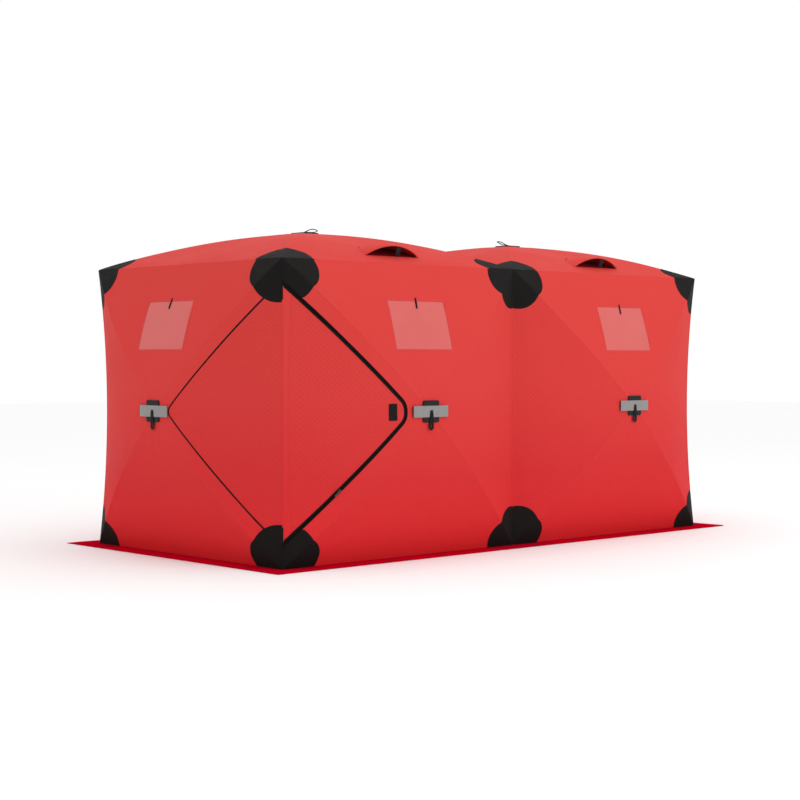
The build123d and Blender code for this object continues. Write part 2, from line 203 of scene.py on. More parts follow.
# %% [markdown]
# Every flat piece is made by the same few steps, so they are helpers. A grid is added, and each of its
# points is moved to where the cloth is; a pattern that has to follow the cloth gets its own flat
# coordinates in metres, as a UV map. The faces are then turned outwards, and a Solidify modifier gives
# the cloth its thickness on the inside, so that its outer face stays where it was drawn.

# %% Helpers for sheets
def select_only(obj):
    bpy.ops.object.select_all(action="DESELECT")
    obj.select_set(True)
    bpy.context.view_layer.objects.active = obj


def points_of(obj):
    flat = np.empty(len(obj.data.vertices) * 3)
    obj.data.vertices.foreach_get("co", flat)
    return flat.reshape(-1, 3)


def set_points(obj, points):
    obj.data.vertices.foreach_set("co", np.ascontiguousarray(points, dtype=np.float32).ravel())
    obj.data.update()


def lay_uv(obj, per_point):
    """A UV map named cloth, in metres, from one pair of numbers for each vertex."""
    while obj.data.uv_layers:
        obj.data.uv_layers.remove(obj.data.uv_layers[0])
    layer = obj.data.uv_layers.new(name="cloth")
    corner = np.empty(len(obj.data.loops), np.int32)
    obj.data.loops.foreach_get("vertex_index", corner)
    layer.data.foreach_set("uv", per_point[corner].astype(np.float32).ravel())


def grid(name, columns, rows, shape):
    """A grid whose points go where shape(s, t) says, with s and t from 0 to 1."""
    bpy.ops.object.select_all(action="DESELECT")
    bpy.ops.mesh.primitive_grid_add(x_subdivisions=columns, y_subdivisions=rows, size=2)
    obj = bpy.context.object
    obj.name = obj.data.name = name
    start = points_of(obj)
    points, flat = shape((start[:, 0] + 1) / 2, (start[:, 1] + 1) / 2)
    set_points(obj, points)
    lay_uv(obj, np.stack(flat, 1))
    return obj


def face_out(obj, out):
    """Turns the whole sheet over if it faces away from out."""
    normals = np.array([face.normal * face.area for face in obj.data.polygons])
    if (normals @ np.asarray(out, float)).sum() < 0:
        obj.data.flip_normals()


def join(pieces, name):
    bpy.ops.object.select_all(action="DESELECT")
    for piece in pieces:
        piece.select_set(True)
    bpy.context.view_layer.objects.active = pieces[0]
    if len(pieces) > 1:
        bpy.ops.object.join()
    pieces[0].name = pieces[0].data.name = name
    return pieces[0]


def in_edit(obj, work):
    """Runs mesh operators on all of a piece."""
    select_only(obj)
    bpy.ops.object.mode_set(mode="EDIT")
    bpy.ops.mesh.select_all(action="SELECT")
    work()
    bpy.ops.object.mode_set(mode="OBJECT")


def choose(obj, kind, flags):
    """Selects the points, edges or faces that flags tells, and leaves the piece in Edit mode."""
    bpy.ops.object.mode_set(mode="EDIT")
    bpy.ops.mesh.select_mode(type=kind)
    bpy.ops.mesh.select_all(action="DESELECT")
    bpy.ops.object.mode_set(mode="OBJECT")
    parts = {"VERT": obj.data.vertices, "EDGE": obj.data.edges, "FACE": obj.data.polygons}[kind]
    parts.foreach_set("select", flags)
    bpy.ops.object.mode_set(mode="EDIT")


def centres_of(obj):
    return np.array([face.center for face in obj.data.polygons])


def merge(obj, distance=0.0002):
    in_edit(obj, lambda: bpy.ops.mesh.remove_doubles(threshold=distance))


def modify(obj, kind, **settings):
    """Adds a modifier and applies it."""
    select_only(obj)
    modifier = obj.modifiers.new(kind.title(), kind)
    for key, value in settings.items():
        setattr(modifier, key, value)
    bpy.ops.object.modifier_apply(modifier=modifier.name)


def thicken(obj, thickness, even=True):
    modify(obj, "SOLIDIFY", thickness=thickness, offset=-1, use_even_offset=even)


def smooth(obj, degrees=40):
    select_only(obj)
    bpy.ops.object.shade_smooth_by_angle(angle=math.radians(degrees))


def paint(obj, material):
    obj.data.materials.clear()
    obj.data.materials.append(material)


def make_up(obj, material, thickness, degrees=60):
    """Gives a finished sheet its material, its thickness and smooth shading."""
    paint(obj, material)
    thicken(obj, thickness)
    smooth(obj, degrees)


def area_of(obj):
    """Area of the mesh."""
    return sum(face.area for face in obj.data.polygons)


def fold_with(obj, panel):
    """Cloth lies between a panel's corners, which stay, and its hub, which slides. This bakes a piece's
    placement into its mesh and works out a weight that runs evenly with the distance, because the poles
    under the cloth are straight levers; the weight is not used."""
    far, near = 0.94, 0.06
    tuple(panel.flat(panel.half_u, 0.0, 0.0))
    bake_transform(obj)
    u, v = panel.local(points_of(obj))
    share, _ = panel.measure(u, v)
    weight = np.clip((far - share) / (far - near), 0, 1)


# %% [markdown]
# Shader maths reads better as plain expressions. A Socket stands for one output of a node and adds a
# Math node for each sign between two of them; every other node comes from Recipe.add, which takes the
# node's type, its settings, and the values or links of its sockets.

# %% Helpers for materials
class Socket:
    """One output of a node, for use in Python expressions."""

    def __init__(self, recipe, output):
        self.recipe, self.output = recipe, output

    def math(self, operation, first, second=None):
        values = {0: first} if second is None else {0: first, 1: second}
        return self.recipe.add("ShaderNodeMath", {"operation": operation}, values)

    def __add__(self, other):
        return self.math("ADD", self, other)

    def __sub__(self, other):
        return self.math("SUBTRACT", self, other)

    def __rsub__(self, other):
        return self.math("SUBTRACT", other, self)

    def __mul__(self, other):
        return self.math("MULTIPLY", self, other)

    def __truediv__(self, other):
        return self.math("DIVIDE", self, other)

    def __pow__(self, other):
        return self.math("POWER", self, other)

    def __abs__(self):
        return self.math("ABSOLUTE", self)

    __radd__, __rmul__ = __add__, __mul__


class Recipe:
    """A material made of nodes."""

    def __init__(self, name, **constants):
        self.material = bpy.data.materials.new(name)
        self.material.use_nodes = True
        self.tree = self.material.node_tree
        self.shader = self.tree.nodes["Principled BSDF"]
        for key, value in constants.items():
            self.shader.inputs[key.replace("_", " ")].default_value = value

    def add(self, kind, settings=None, values=None, output=0):
        node = self.tree.nodes.new(kind)
        for key, value in (settings or {}).items():
            if key == "stops":
                ramp = node.color_ramp
                while len(ramp.elements) < len(value):
                    ramp.elements.new(0.5)
                for element, (position, colour) in zip(ramp.elements, value):
                    element.position, element.color = position, colour
            else:
                setattr(node, key, value)
        for key, value in (values or {}).items():
            if isinstance(value, Socket):
                self.tree.links.new(value.output, node.inputs[key])
            else:
                node.inputs[key].default_value = value
        return Socket(self, node.outputs[output])

    def uv(self):
        return self.add("ShaderNodeUVMap", {"uv_map": "cloth"})

    def place(self):
        return self.add("ShaderNodeTexCoord", output="Object")

    def parts(self, vector):
        made = self.add("ShaderNodeSeparateXYZ", None, {0: vector})
        outputs = made.output.node.outputs
        return [Socket(self, outputs[i]) for i in range(3)]

    def noise(self, vector, scale, detail=3.0, roughness=0.55):
        return self.add("ShaderNodeTexNoise", None,
                        {"Vector": vector, "Scale": scale, "Detail": detail, "Roughness": roughness})

    def ramp(self, factor, *stops):
        return self.add("ShaderNodeValToRGB", {"stops": stops}, {0: factor})

    def steps(self, value, low, high, to_low=0.0, to_high=1.0):
        """A smooth climb from to_low to to_high between two values."""
        return self.add("ShaderNodeMapRange", {"interpolation_type": "SMOOTHSTEP"},
                        {0: value, 1: low, 2: high, 3: to_low, 4: to_high})

    def mix(self, factor, first, second):
        return self.add("ShaderNodeMix", {"data_type": "RGBA"}, {0: factor, 6: first, 7: second}, output=2)

    def wave(self, value, pitch):
        """From 0 to 1 and back once in each pitch."""
        turned = self.add("ShaderNodeMath", {"operation": "SINE"}, {0: value * (2 * math.pi / pitch)})
        return turned * 0.5 + 0.5

    def finish(self, **links):
        for key, value in links.items():
            self.tree.links.new(value.output, self.shader.inputs[key.replace("_", " ")])
        return self.material

    def bump(self, height, distance, strength=1.0):
        return self.add("ShaderNodeBump", None,
                        {"Height": height, "Distance": distance, "Strength": strength})


# %% [markdown]
# The main cloth is a coated polyester weave. Its threads are far finer than a millimetre, so up close
# it shows a fine grain, and from further off a slight mottling. Its colour carries painted light by height:
# a brighter red near the ground lifts the shade there, and a paler, greyer red high on the walls and on
# the roof is a painted sheen. The doors, the gore round the corner from each and one gore on each long
# side are of the same cloth quilted to a thin wadding, in small diamonds, with painted shade in their
# hollows.

# %% Red cloth
WEAVE = 0.0016
QUILT = 0.030
# Painted light by height: a brighter red near the ground lifts the shade there, and a paler, greyer red
# higher up is a painted sheen.
PAINTED_LIGHT_RED_STOPS = ((0.0, (0.70, 0.026, 0.031, 1)), (0.25, (0.625, 0.032, 0.034, 1)),
             (0.55, (0.64, 0.050, 0.045, 1)), (1.0, (0.625, 0.052, 0.044, 1)))


def red_cloth(name, quilted=False):
    recipe = Recipe(name, Specular_IOR_Level=0.05)
    flat = recipe.uv()
    u, v, _ = recipe.parts(flat)
    _, _, height = recipe.parts(recipe.place())
    mottle = recipe.noise(recipe.place(), 2.2, 4.0)
    grain = recipe.noise(flat, 340.0, 2.0)
    # Painted light: the colour ramps with height, brighter near the ground and paler, as a painted sheen, on
    # the upper walls and the roof.
    colour = recipe.ramp((height + mottle * 0.30 - 0.15) / 1.8, *PAINTED_LIGHT_RED_STOPS)
    speckle = recipe.steps(grain, 0.3, 0.7)
    colour = recipe.mix(speckle * 0.10, colour, (0.52, 0.014, 0.018, 1))
    threads = recipe.wave(u, WEAVE) * recipe.wave(v, WEAVE)
    height_map = threads * 0.25 + grain * 0.12
    if quilted:
        one = recipe.wave(u + v, QUILT)
        other = recipe.wave(u - v, QUILT)
        tufts = (one * other) ** 0.5
        # Painted shade: the hollows between the tufts are mixed to a darker red.
        colour = recipe.mix((1 - tufts) * 0.22, colour, (0.52, 0.026, 0.030, 1))
        height_map = height_map + tufts * 2.0
    rough = recipe.steps(mottle, 0.3, 0.7, 0.62, 0.74)
    return recipe.finish(Base_Color=colour, Roughness=rough,
                         Normal=recipe.bump(height_map, 0.0006))


plain_red = red_cloth("red_cloth")
quilted_red = red_cloth("quilted_red_cloth", quilted=True)


def crimson():
    """The skirt's cloth, deeper and duller than the walls."""
    recipe = Recipe("crimson_skirt_cloth", Specular_IOR_Level=0.0)
    u, v, _ = recipe.parts(recipe.uv())
    mottle = recipe.noise(recipe.place(), 3.0, 4.0)
    grain = recipe.noise(recipe.place(), 340.0, 2.0)
    colour = recipe.mix(mottle, (0.50, 0.0, 0.014, 1), (0.56, 0.001, 0.018, 1))
    threads = recipe.wave(u, WEAVE) * recipe.wave(v, WEAVE)
    return recipe.finish(Base_Color=colour, Roughness=recipe.steps(mottle, 0.3, 0.7, 0.6, 0.72),
                         Normal=recipe.bump(threads * 0.25 + grain * 0.12, 0.0006))


skirt_red = crimson()

# %% [markdown]
# The black goods: a heavy weave for the corner patches, ribbed webbing for pulls and tabs, and a zip
# tape with its coil. All three are nearly black with a slight grey bloom on their high threads.

# %% Black weaves
def black_weave(name, pitch, dark, light, roughness=0.72):
    recipe = Recipe(name, Specular_IOR_Level=0.12)
    u, v, _ = recipe.parts(recipe.uv())
    cloud = recipe.noise(recipe.place(), 9.0, 5.0)
    warp, weft = recipe.wave(u + v, pitch), recipe.wave(u - v, pitch)
    threads = (warp * weft) ** 0.5
    colour = recipe.mix(threads * 0.6 + cloud * 0.4, (*dark, 1), (*light, 1))
    rough = recipe.steps(cloud, 0.25, 0.75, roughness - 0.06, roughness + 0.08)
    return recipe.finish(Base_Color=colour, Roughness=rough,
                         Normal=recipe.bump(threads + cloud * 0.5, 0.0007))


patch_black = black_weave("black_patch_weave", 0.0032, (0.003, 0.003, 0.003), (0.012, 0.010, 0.009))
webbing_black = black_weave("black_webbing", 0.0024, (0.004, 0.004, 0.004), (0.012, 0.011, 0.011), 0.6)


def zip_tape():
    recipe = Recipe("zip_tape", Specular_IOR_Level=0.06)
    along, across, _ = recipe.parts(recipe.uv())
    coil = 1 - recipe.steps(abs(across), 0.0028, 0.0036)
    teeth = recipe.wave(along, 0.003)
    ribs = recipe.wave(across, 0.0016)
    colour = recipe.mix(coil * teeth, (0.003, 0.003, 0.003, 1), (0.016, 0.014, 0.014, 1))
    rough = recipe.add("ShaderNodeMapRange", None, {0: coil, 1: 0.0, 2: 1.0, 3: 0.72, 4: 0.36})
    return recipe.finish(Base_Color=colour, Roughness=rough,
                         Normal=recipe.bump(coil * teeth * 1.5 + ribs * (1 - coil) * 0.4, 0.0008))


zip_black = zip_tape()

# %% [markdown]
# The hard parts: moulded plastic with a fine spark finish, fibreglass rod with a drawn sheen and the
# scuffs that poles get where they slide, and satin black metal for the zip's slider.

# %% Hard materials
def hard(name, dark, light, roughness, grain, stretch=(1, 1, 1), metallic=0.0, coat=0.0):
    recipe = Recipe(name, Metallic=metallic, Coat_Weight=coat, Coat_Roughness=0.2, Specular_IOR_Level=0.2)
    where = recipe.add("ShaderNodeMapping", None, {"Vector": recipe.place(), "Scale": stretch})
    fine = recipe.noise(where, grain, 3.0, 0.6)
    wide = recipe.noise(recipe.place(), 14.0, 4.0)
    scuff = recipe.steps(fine * 0.6 + wide * 0.4, 0.48, 0.66)
    colour = recipe.mix(scuff, (*dark, 1), (*light, 1))
    rough = recipe.steps(wide, 0.3, 0.7, roughness - 0.08, roughness + 0.12)
    return recipe.finish(Base_Color=colour, Roughness=rough, Normal=recipe.bump(fine, 0.0004))


moulded_black = hard("moulded_black", (0.005, 0.005, 0.005), (0.014, 0.014, 0.015), 0.50, 900.0)
rod_black = hard("fibreglass_rod", (0.018, 0.017, 0.016), (0.060, 0.058, 0.055), 0.30, 60.0,
                 (1, 1, 1), 0.0, 0.4)
satin_metal = hard("satin_black_metal", (0.02, 0.02, 0.022), (0.10, 0.10, 0.11), 0.34, 220.0,
                   (1, 1, 1), 0.8)

# %% [markdown]
# Three sheets are neither cloth nor plastic parts: the clear vinyl of the windows, whose pale pink
# colour is a painted reflection over the red seen through it; the grey reflective strip with its fine
# honeycomb of sealed cells; and the netting behind the roof vents, with painted shade in its holes and
# a red on its threads that is painted light, the lit red of the hood's underside.

# %% Vinyl, reflective strip and netting
def vinyl():
    recipe = Recipe("clear_vinyl", Specular_IOR_Level=0.3, IOR=1.45)
    ripple = recipe.noise(recipe.place(), 7.0, 2.0, 0.4)
    haze = recipe.noise(recipe.place(), 5.0, 3.0)
    # Painted reflection: the pale pink stands for the white reflection on the vinyl over the red seen through
    # it.
    colour = recipe.mix(haze, (0.67, 0.118, 0.108, 1), (0.71, 0.140, 0.130, 1))
    rough = recipe.steps(haze, 0.3, 0.7, 0.16, 0.26)
    recipe.shader.inputs["Alpha"].default_value = 0.86
    return recipe.finish(Base_Color=colour, Roughness=rough,
                         Normal=recipe.bump(ripple, 0.004, 0.6))


def reflective():
    recipe = Recipe("reflective_tape", Specular_IOR_Level=0.4)
    u, v, _ = recipe.parts(recipe.uv())
    cells = recipe.wave(u * 2, 0.006) * recipe.wave(u + v * 1.732, 0.006) * recipe.wave(u - v * 1.732, 0.006)
    cloud = recipe.noise(recipe.place(), 30.0, 4.0)
    colour = recipe.mix(cells * 0.5 + cloud * 0.5, (0.20, 0.195, 0.19, 1), (0.30, 0.29, 0.285, 1))
    rough = recipe.steps(cloud, 0.3, 0.7, 0.30, 0.42)
    return recipe.finish(Base_Color=colour, Roughness=rough, Normal=recipe.bump(cells, 0.0004))


def netting():
    recipe = Recipe("netting_with_painted_light", Roughness=0.8, Specular_IOR_Level=0.05)
    u, v, _ = recipe.parts(recipe.uv())
    holes = recipe.wave(u, 0.004) * recipe.wave(v, 0.004)
    # Painted light and shade: the red threads stand for the lit red underside of the hood, and the dark holes
    # for the shade inside.
    colour = recipe.mix(holes, (0.10, 0.004, 0.010, 1), (0.48, 0.004, 0.022, 1))
    return recipe.finish(Base_Color=colour, Normal=recipe.bump(1 - holes, 0.0008))


clear_vinyl, reflective_grey, painted_light_net = vinyl(), reflective(), netting()
print("materials:", len(bpy.data.materials))

# %% [markdown]
# A corner door is half of a diamond whose point lies beside the hub and whose other end is the upright
# corner. Its outline runs along the poles at a fixed distance and turns round the point in an arc. The
# same outline gives the zip, the door itself, the cloth around it and the stitched line on the next
# wall, so it is worked out once, as stations with a point and a direction straight outwards.

# %% The outline of a door
HINGE = half_bay - TUCK - 0.020  # where the door folds open
slope = wall_half / half_bay
lean = math.hypot(1, slope)


class HalfDiamond:
    """Outline that keeps an upright distance from the poles and turns round a point by the hub."""

    def __init__(self, margin, nose):
        self.margin, self.nose = margin, nose
        self.centre = margin / slope + nose * lean / slope
        self.tangent = self.centre - nose * slope / lean

    def height(self, a, grow=0.0):
        """Half the height of the outline at a distance from the hub."""
        straight = slope * a - self.margin + grow * lean
        radius = self.nose + grow
        round_height = np.sqrt(np.clip(radius**2 - (a - self.centre) ** 2, 0, None))
        return np.where(a < self.centre - radius * slope / lean, round_height, straight)

    def stations(self, end, per_side=44, on_arc=16):
        """Points and outward directions round the outline, from end above to end below."""
        run = np.linspace(end, self.tangent, per_side)
        upper = np.stack([run, slope * run - self.margin], 1)
        turn = math.atan2(1, -slope)
        angles = np.linspace(turn, 2 * math.pi - turn, on_arc + 2)[1:-1]
        direction = np.stack([np.cos(angles), np.sin(angles)], 1)
        arc = np.array([self.centre, 0]) + self.nose * direction
        above = np.tile([-slope / lean, 1 / lean], (per_side, 1))
        points = np.concatenate([upper, arc, upper[::-1] * [1, -1]])
        normals = np.concatenate([above, direction, above * [1, -1]])
        steps = np.hypot(*np.diff(points, axis=0).T)
        return points, normals, np.concatenate([[0], np.cumsum(steps)])

    def meets_edge(self, panel):
        """Distance from the hub at which the outline runs out over the upright edge."""
        a = panel.half_u
        for _ in range(8):
            a = float(panel.edge(slope * a - self.margin))
        return a


door_line = HalfDiamond(0.139, 0.085)
piped_line = HalfDiamond(0.111, 0.048)


def ribbon(name, panel, line, sign, end, offsets, lifts, per_side=44):
    """A band along the outline on one side of a panel, with a profile across it."""
    points, normals, length = line.stations(end, per_side)
    rows, columns = len(points) - 1, len(offsets) - 1

    def shape(s, t):
        i, j = np.rint(t * rows).astype(int), np.rint(s * columns).astype(int)
        offset = np.asarray(offsets)[j]
        spot = points[i] + normals[i] * offset[:, None]
        u, v = sign * spot[:, 0], spot[:, 1]
        u = np.sign(u) * np.minimum(np.abs(u), panel.edge(v))
        return panel.place(u, v, np.asarray(lifts)[j]), (length[i], offset)

    obj = grid(name, columns, rows, shape)
    face_out(obj, panel.out)
    return obj


print(f"door point at {door_line.centre - door_line.nose:.3f} m from the hub, door folds at {HINGE:.3f} m")

# %% [markdown]
# The cloth of each panel is one continuous sheet. It is laid as four gores, whose rows keep a fixed
# share of the way from hub to edge, so that the edges between gores lie exactly on the poles' lines
# and make the crisp creases that the poles give. The gores are then merged into one mesh. A window is
# cut out with four bisections. Where there is a door, the side gore is only the band round it.

# %% Cloth of the panels
WINDOW_WIDTH, WINDOW_HEIGHT, WINDOW_CORNER = 0.45, 0.29, 0.01
WINDOW_V = 0.49  # window's middle above the hub
CLOTH_THICK = 0.0016


def gore_sheet(panel, side, columns=60, rows=52):
    def shape(s, t):
        share = HUB_SHARE + (1 - HUB_SHARE) * t
        u, v = panel.gore(side, share, 2 * s - 1)
        return panel.place(u, v), (u, v)

    obj = grid(f"{panel.name}_{side}", columns, rows, shape)
    face_out(obj, panel.out)
    return obj


def door_band(panel, columns=10):
    """The cloth between a door and the poles: two straight bands and a fan round the point."""
    inner, _, _ = door_line.stations(0.8, 56, 24)
    tangent, start = door_line.tangent, HUB_SHARE * panel.half_u
    share = np.linspace(1, tangent / panel.half_u, 56)
    upper_in = []
    for s in share:
        a = panel.half_u * s
        for _ in range(8):
            v = slope * a - door_line.margin
            a = panel.half_u * s - TUCK * s**2 * (1 - (v / (panel.half_v * s)) ** 2)
        upper_in.append((a, slope * a - door_line.margin))
    upper_in = np.array(upper_in)
    upper_out = np.stack([panel.half_u * share, panel.half_v * share], 1)
    corner = [(tangent, slope * tangent), (start, slope * start), (start, -slope * start),
              (tangent, -slope * tangent)]
    path = np.array(corner)
    legs = np.concatenate([[0], np.cumsum(np.hypot(*np.diff(path, axis=0).T))])
    arc = inner[56:-56]
    spread = np.linspace(0, legs[-1], len(arc) + 2)[1:-1]
    fan = np.stack([np.interp(spread, legs, path[:, k]) for k in (0, 1)], 1)
    edge_in = np.concatenate([upper_in, arc, upper_in[::-1] * [1, -1]])
    edge_out = np.concatenate([upper_out, fan, upper_out[::-1] * [1, -1]])

    def shape(s, t):
        i = np.rint(t * (len(edge_in) - 1)).astype(int)
        spot = edge_in[i] * (1 - s[:, None]) + edge_out[i] * s[:, None]
        u, v = -spot[:, 0], spot[:, 1]
        return panel.place(u, v), (u, v)

    obj = grid(f"{panel.name}_band", columns, len(edge_in) - 1, shape)
    face_out(obj, panel.out)
    return obj


def hinge_strip(panel):
    """The narrow upright strip between the line where a door folds and the corner."""
    top = float(door_line.height(HINGE))

    def shape(s, t):
        v = (2 * t - 1) * (top + 0.045 * s)
        a = HINGE + (panel.edge(v) - HINGE) * s
        v = np.clip(v, -door_line.height(a), door_line.height(a))
        return panel.place(-a, v), (-a, v)

    obj = grid(f"{panel.name}_strip", 5, 60, shape)
    face_out(obj, panel.out)
    return obj


def cut_window(obj, panel):
    """Cuts a square-cornered opening, whose edge the window's border covers."""
    inset = 0.006
    half_w, half_h = WINDOW_WIDTH / 2 - inset, WINDOW_HEIGHT / 2 - inset
    lines = [(-half_w, 0), (half_w, 0), (WINDOW_V - half_h, 1), (WINDOW_V + half_h, 1)]
    select_only(obj)
    for place, upright in lines:
        centres = centres_of(obj)
        u, v = panel.local(centres)
        near = (np.abs(u) < half_w + 0.05) & (np.abs(v - WINDOW_V) < half_h + 0.05)
        obj.data.polygons.foreach_set("select", near)
        spot = panel.flat(0.0, place, 0.0) if upright else panel.flat(place, 0.0, 0.0)
        bpy.ops.object.mode_set(mode="EDIT")
        bpy.ops.mesh.select_mode(type="FACE")
        bpy.ops.mesh.bisect(plane_co=tuple(spot), plane_no=tuple(panel.up if upright else panel.along))
        bpy.ops.object.mode_set(mode="OBJECT")
    centres = centres_of(obj)
    u, v = panel.local(centres)
    inside = (np.abs(u) < half_w) & (np.abs(v - WINDOW_V) < half_h)
    obj.data.polygons.foreach_set("select", inside)
    bpy.ops.object.mode_set(mode="EDIT")
    bpy.ops.mesh.select_mode(type="FACE")
    bpy.ops.mesh.delete(type="FACE")
    bpy.ops.object.mode_set(mode="OBJECT")


QUILTED = {("front_2", "left"), ("left", "right"), ("right", "right"), ("back_2", "left")}


def add_quilting(obj, panel):
    """A second material inside the stitched diamonds of the quilted gores."""
    obj.data.materials.append(quilted_red)
    centres = centres_of(obj)
    u, v = panel.local(centres)
    for side, sign in (("left", -1), ("right", 1)):
        if (panel.name, side) not in QUILTED:
            continue
        if panel.free and side in panel.free:
            inside = (sign * u > 0) & (np.abs(v) < piped_line.height(np.abs(u)))
        else:
            inside = (sign * u > 0) & (np.abs(v) < slope * np.abs(u)) & (np.abs(u) < panel.half_u - 0.012)
        index = np.array([face.material_index for face in obj.data.polygons])
        index[inside] = 1
        obj.data.polygons.foreach_set("material_index", index.astype(np.int32))


cloth_nodes = {
    "front_1": ("front_wall", "front_door_surround"), "front_2": ("front_wall",),
    "back_1": ("back_wall", "back_door_surround"), "back_2": ("back_wall",),
    "left": ("left_wall",), "right": ("right_wall",), "roof_1": ("roof",), "roof_2": ("roof",),
}
cloths, cloth_area = {}, {}
for panel in panels:
    has_door = panel in doors.values()
    gores = [gore_sheet(panel, side) for side in SIDES if not (has_door and side == "left")]
    if has_door:
        gores += [door_band(panel), hinge_strip(panel)]
    cloth = join(gores, f"{panel.name}_cloth")
    merge(cloth, 0.0003)
    if panel in walls:
        cut_window(cloth, panel)
    cloth_area[panel.name] = area_of(cloth)
    paint(cloth, plain_red)
    add_quilting(cloth, panel)
    thicken(cloth, CLOTH_THICK)
    smooth(cloth, 50)
    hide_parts(*cloth_nodes[panel.name])
    cloths[panel.name] = cloth
    print(f"{cloth.name}: {len(cloth.data.polygons)} faces, {cloth_area[panel.name]:.2f} m2")

# %% [markdown]
# Along every pole's line the two gores are joined with a flat felled seam: a narrow band of doubled
# cloth with a row of stitches near each edge. It is a strip of five faces across, raised by the
# thickness of one layer, and it catches a thin light line as the real seam does.

# %% Seams along the poles
def seam_material():
    recipe = Recipe("stitched_red_seam", Specular_IOR_Level=0.08)
    along, across, _ = recipe.parts(recipe.uv())
    _, _, height = recipe.parts(recipe.place())
    cloud = recipe.noise(recipe.place(), 3.0, 4.0)
    # Painted light by height, as on the cloth: brighter near the ground, paler as a painted sheen higher up.
    colour = recipe.ramp((height + cloud * 0.30 - 0.15) / 1.8, *PAINTED_LIGHT_RED_STOPS)
    row = 1 - recipe.steps(abs(abs(across) - 0.0045), 0.0004, 0.0010)
    stitch = row * recipe.steps(recipe.wave(along, 0.004), 0.35, 0.6)
    colour = recipe.mix(stitch * 0.4, colour, (0.42, 0.012, 0.015, 1))
    return recipe.finish(Base_Color=colour, Roughness=recipe.steps(cloud, 0.3, 0.7, 0.62, 0.72),
                         Normal=recipe.bump(stitch, 0.0006))


seam_red = seam_material()
SEAM_PROFILE = ((-0.0075, -0.0005), (-0.0062, 0.0003), (-0.002, 0.0006), (0.002, 0.0006),
                (0.0062, 0.0003), (0.0075, -0.0005))


def band(name, panel, starts, ends, count, profile):
    """A band between two points of a panel, laid on the cloth, with a profile across it."""
    start, end = np.array(starts, float), np.array(ends, float)
    side = np.array([-(end - start)[1], (end - start)[0]]) / np.hypot(*(end - start))
    length = np.hypot(*(end - start))
    offsets, lifts = np.array(profile).T

    def shape(s, t):
        j = np.rint(s * (len(offsets) - 1)).astype(int)
        spot = start + np.multiply.outer(t, end - start) + side * offsets[j][:, None]
        return panel.place(spot[:, 0], spot[:, 1], lifts[j]), (length * t, offsets[j])

    obj = grid(name, len(offsets) - 1, count, shape)
    face_out(obj, panel.out)
    return obj


seams = {}
for panel in panels:
    strips = []
    near, far = 0.068, 0.83
    for a in (-1, 1):
        for b in (-1, 1):
            strips.append(band("seam", panel, (a * panel.half_u * near, b * panel.half_v * near),
                               (a * panel.half_u * far, b * panel.half_v * far), 70, SEAM_PROFILE))
    seam = join(strips, f"{panel.name}_pole_seams")
    make_up(seam, seam_red, 0.0006)
    seams[panel.name] = seam
print("pole seams:", len(seams))

# %% [markdown]
# The corner patches are quarter discs of heavy black cloth, sewn on where a pole's tip pushes. Each
# panel has one at each of its corners, laid over both gores, so its middle line is the pole's line. A
# polar grid about the corner gives the round edge, which dips slightly between the pole's line and
# the panel's edges, with a turned hem as a raised rim.

# %% Corner patches
def patch_reach(panel, angle, side_is_door):
    """Radius of a patch at an angle from its horizontal edge: each petal bulges, with a notch between."""
    pole = math.atan2(panel.half_v, panel.half_u)
    first = angle / pole
    second = (angle - pole) / (math.pi / 2 - pole)
    flat_petal = 0.875 + 0.017 * first + 0.090 * np.sin(math.pi * np.clip(first, 0, 1))
    upright_petal = 0.892 + 0.052 * second + 0.060 * np.sin(math.pi * np.clip(second, 0, 1))
    reach = PATCH * np.where(angle < pole, flat_petal, upright_petal)
    if not side_is_door:
        return reach
    to_zip = (door_line.margin / lean - 0.018) / np.clip(np.sin(angle - pole), 1e-3, None)
    return np.where(angle > pole, np.minimum(reach, to_zip), reach)


def corner_patch(panel, a, b, has_door):
    rings, spokes = 14, 36
    profile = np.concatenate([np.linspace(0.002, 0.955, rings - 3), [0.975, 0.99, 1.0, 1.002]])
    lifts = np.concatenate([np.full(rings - 3, 0.0011), [0.0017, 0.0017, 0.0010, -0.0006]])

    def shape(s, t):
        j = np.rint(t * (len(profile) - 1)).astype(int)
        pole = math.atan2(panel.half_v, panel.half_u)
        angle = np.where(s < 0.5, 2 * s * pole, pole + (2 * s - 1) * (math.pi / 2 - pole))
        r = patch_reach(panel, angle, has_door and a < 0) * profile[j]
        u, v = panel.half_u - r * np.cos(angle), panel.half_v - r * np.sin(angle)
        u = np.minimum(u, panel.edge(v) - 0.0002) if ("right" if a > 0 else "left") in panel.free else u
        return panel.place(a * u, b * v, lifts[j]), (a * u, b * v)

    obj = grid("patch", spokes, len(profile) - 1, shape)
    face_out(obj, panel.out)
    return obj


patches = {}
for panel in panels:
    has_door = panel in doors.values()
    petals = [corner_patch(panel, a, b, has_door) for a in (-1, 1) for b in (-1, 1)]
    patch = join(petals, f"{panel.name}_patches")
    merge(patch, 0.0001)
    paint(patch, patch_black)
    thicken(patch, 0.0006, even=False)
    smooth(patch, 50)
    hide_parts("corner_patches")
    patches[panel.name] = patch
print("corner patches:", 4 * len(patches))

# %% [markdown]
# A window is a pane of clear vinyl welded behind the cloth, with a flat border round it and a short
# tie at its upper edge that holds the blind. The pane is a grid whose rows get shorter near the top
# and bottom, which rounds its corners.

# %% Windows
def rounded_half(v, half_w, half_h, radius):
    """Half width of a rounded rectangle at a height from its middle."""
    past = np.clip(np.abs(v) - (half_h - radius), 0, radius)
    return half_w - radius + np.sqrt(np.clip(radius**2 - past**2, 0, None))


